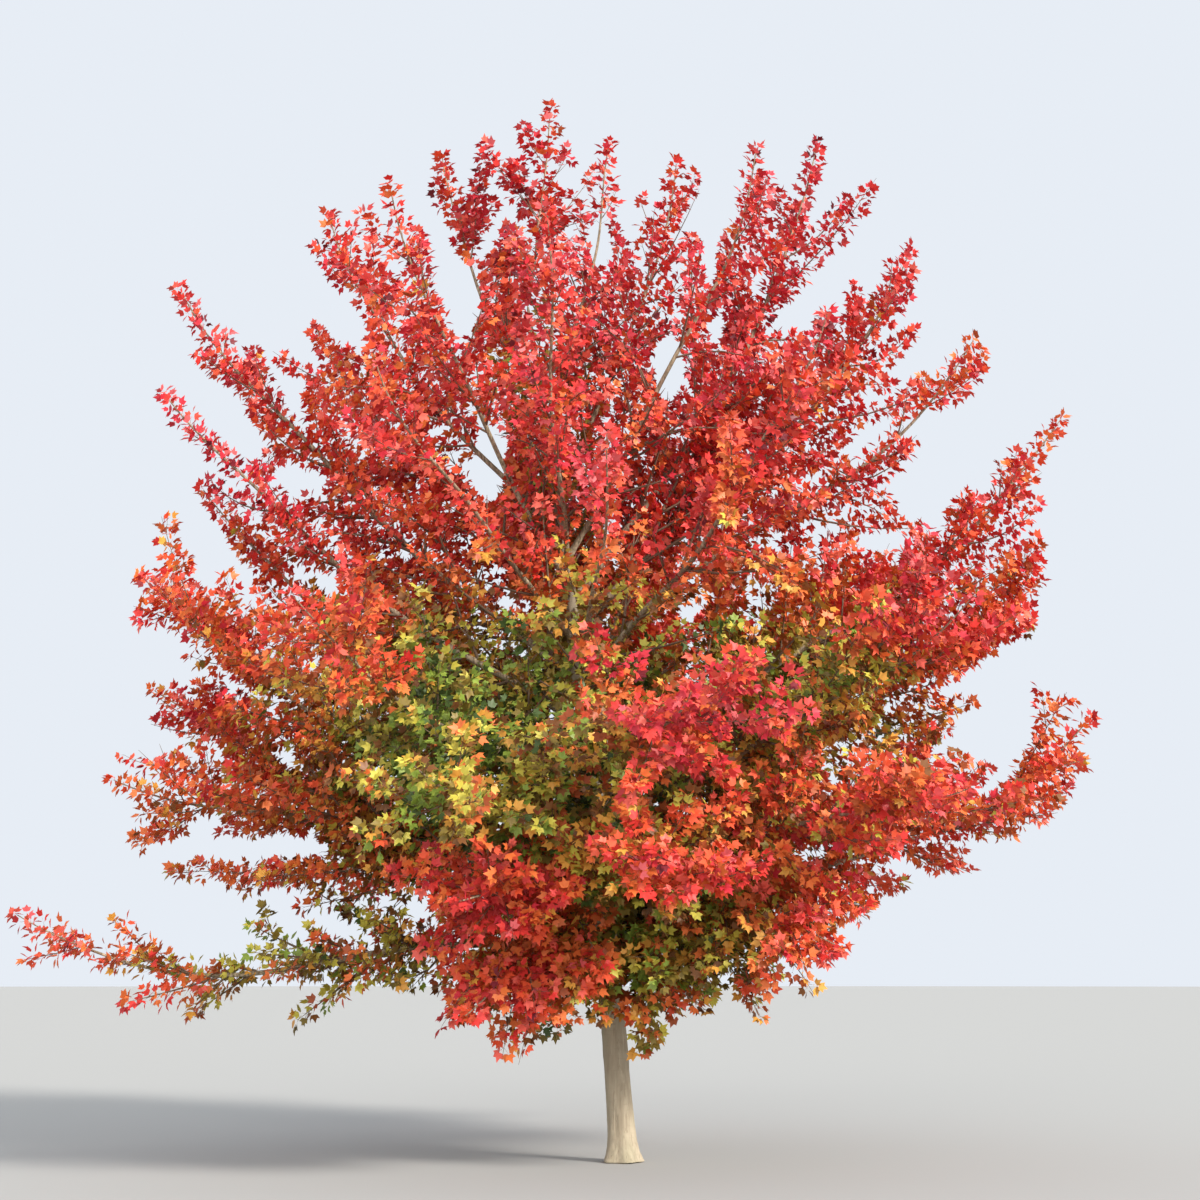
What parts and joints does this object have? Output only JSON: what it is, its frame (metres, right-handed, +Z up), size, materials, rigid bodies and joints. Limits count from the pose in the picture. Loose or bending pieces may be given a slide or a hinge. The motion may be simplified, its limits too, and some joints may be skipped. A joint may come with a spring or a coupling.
{
  "type": "maple tree",
  "caption": "Young maple in autumn leaf with a leaning trunk, upswept boughs and a broad round crown of separate masses of foliage.",
  "frame": {"origin": "middle of the flat cut under the trunk, at ground level", "axes": "+Z up along the trunk, +X to the right as seen from the front, +Y away to the back"},
  "size_m": [9.6061, 7.8748, 9.9842],
  "materials": {
    "bark": "rough grey-brown bark",
    "foliage_scarlet": "thin satin leaves, crimson to scarlet",
    "foliage_amber": "thin satin leaves, scarlet to gold",
    "foliage_green": "thin satin leaves, yellow-green to green"
  },
  "bodies": {
    "root": {"trunk": "bark", "foliage_leader": "foliage_scarlet", "foliage_top_left": "foliage_scarlet", "foliage_top_front": "foliage_scarlet", "foliage_top_right": "foliage_scarlet", "foliage_crown_left": "foliage_scarlet", "foliage_crown_right": "foliage_scarlet", "foliage_crown_front_left": "foliage_scarlet", "foliage_crown_far_right": "foliage_scarlet", "foliage_crown_front": "foliage_scarlet", "foliage_back_left_high": "foliage_scarlet", "foliage_right_high": "foliage_scarlet", "foliage_back_right_high": "foliage_scarlet", "foliage_right_high_front": "foliage_scarlet", "foliage_back_high": "foliage_scarlet", "foliage_left_high": "foliage_scarlet", "foliage_front_left_high": "foliage_scarlet", "foliage_front_right_high": "foliage_scarlet", "foliage_left_shoulder": "foliage_scarlet", "foliage_front_high": "foliage_scarlet", "foliage_back_mid": "foliage_amber", "foliage_front_mid": "foliage_amber", "foliage_back_left_mid": "foliage_amber", "foliage_right_shoulder": "foliage_scarlet", "foliage_front_left_mid": "foliage_amber", "foliage_back_right_mid": "foliage_amber", "foliage_front_left_lower": "foliage_amber", "foliage_left_mid": "foliage_scarlet", "bough_front_right_mid": "bark", "foliage_front_right_mid": "foliage_amber", "bough_right_mid": "bark", "foliage_right_mid": "foliage_amber", "bough_left_mid_front": "bark", "foliage_left_mid_front": "foliage_amber", "bough_right_front_low": "bark", "foliage_right_front_low": "foliage_amber", "bough_back_left_low": "bark", "foliage_back_left_low": "foliage_amber", "bough_left_low": "bark", "foliage_left_low": "foliage_amber", "bough_back_right_low": "bark", "foliage_back_right_low": "foliage_amber", "bough_right_low": "bark", "foliage_right_low": "foliage_amber", "bough_front_low": "bark", "foliage_front_low": "foliage_amber", "bough_back_low": "bark", "foliage_back_low": "foliage_amber", "bough_left_lower": "bark", "foliage_left_lower": "foliage_amber", "bough_front_left_mid_low": "bark", "foliage_front_left_mid_low": "foliage_amber", "bough_front_right_low": "bark", "foliage_front_right_low": "foliage_amber", "bough_front_left_low": "bark", "foliage_front_left_low": "foliage_amber", "bough_left_long": "bark", "foliage_left_long": "foliage_amber", "foliage_skirt_front": "foliage_green", "foliage_skirt_back": "foliage_green"}
  },
  "joints": []
}
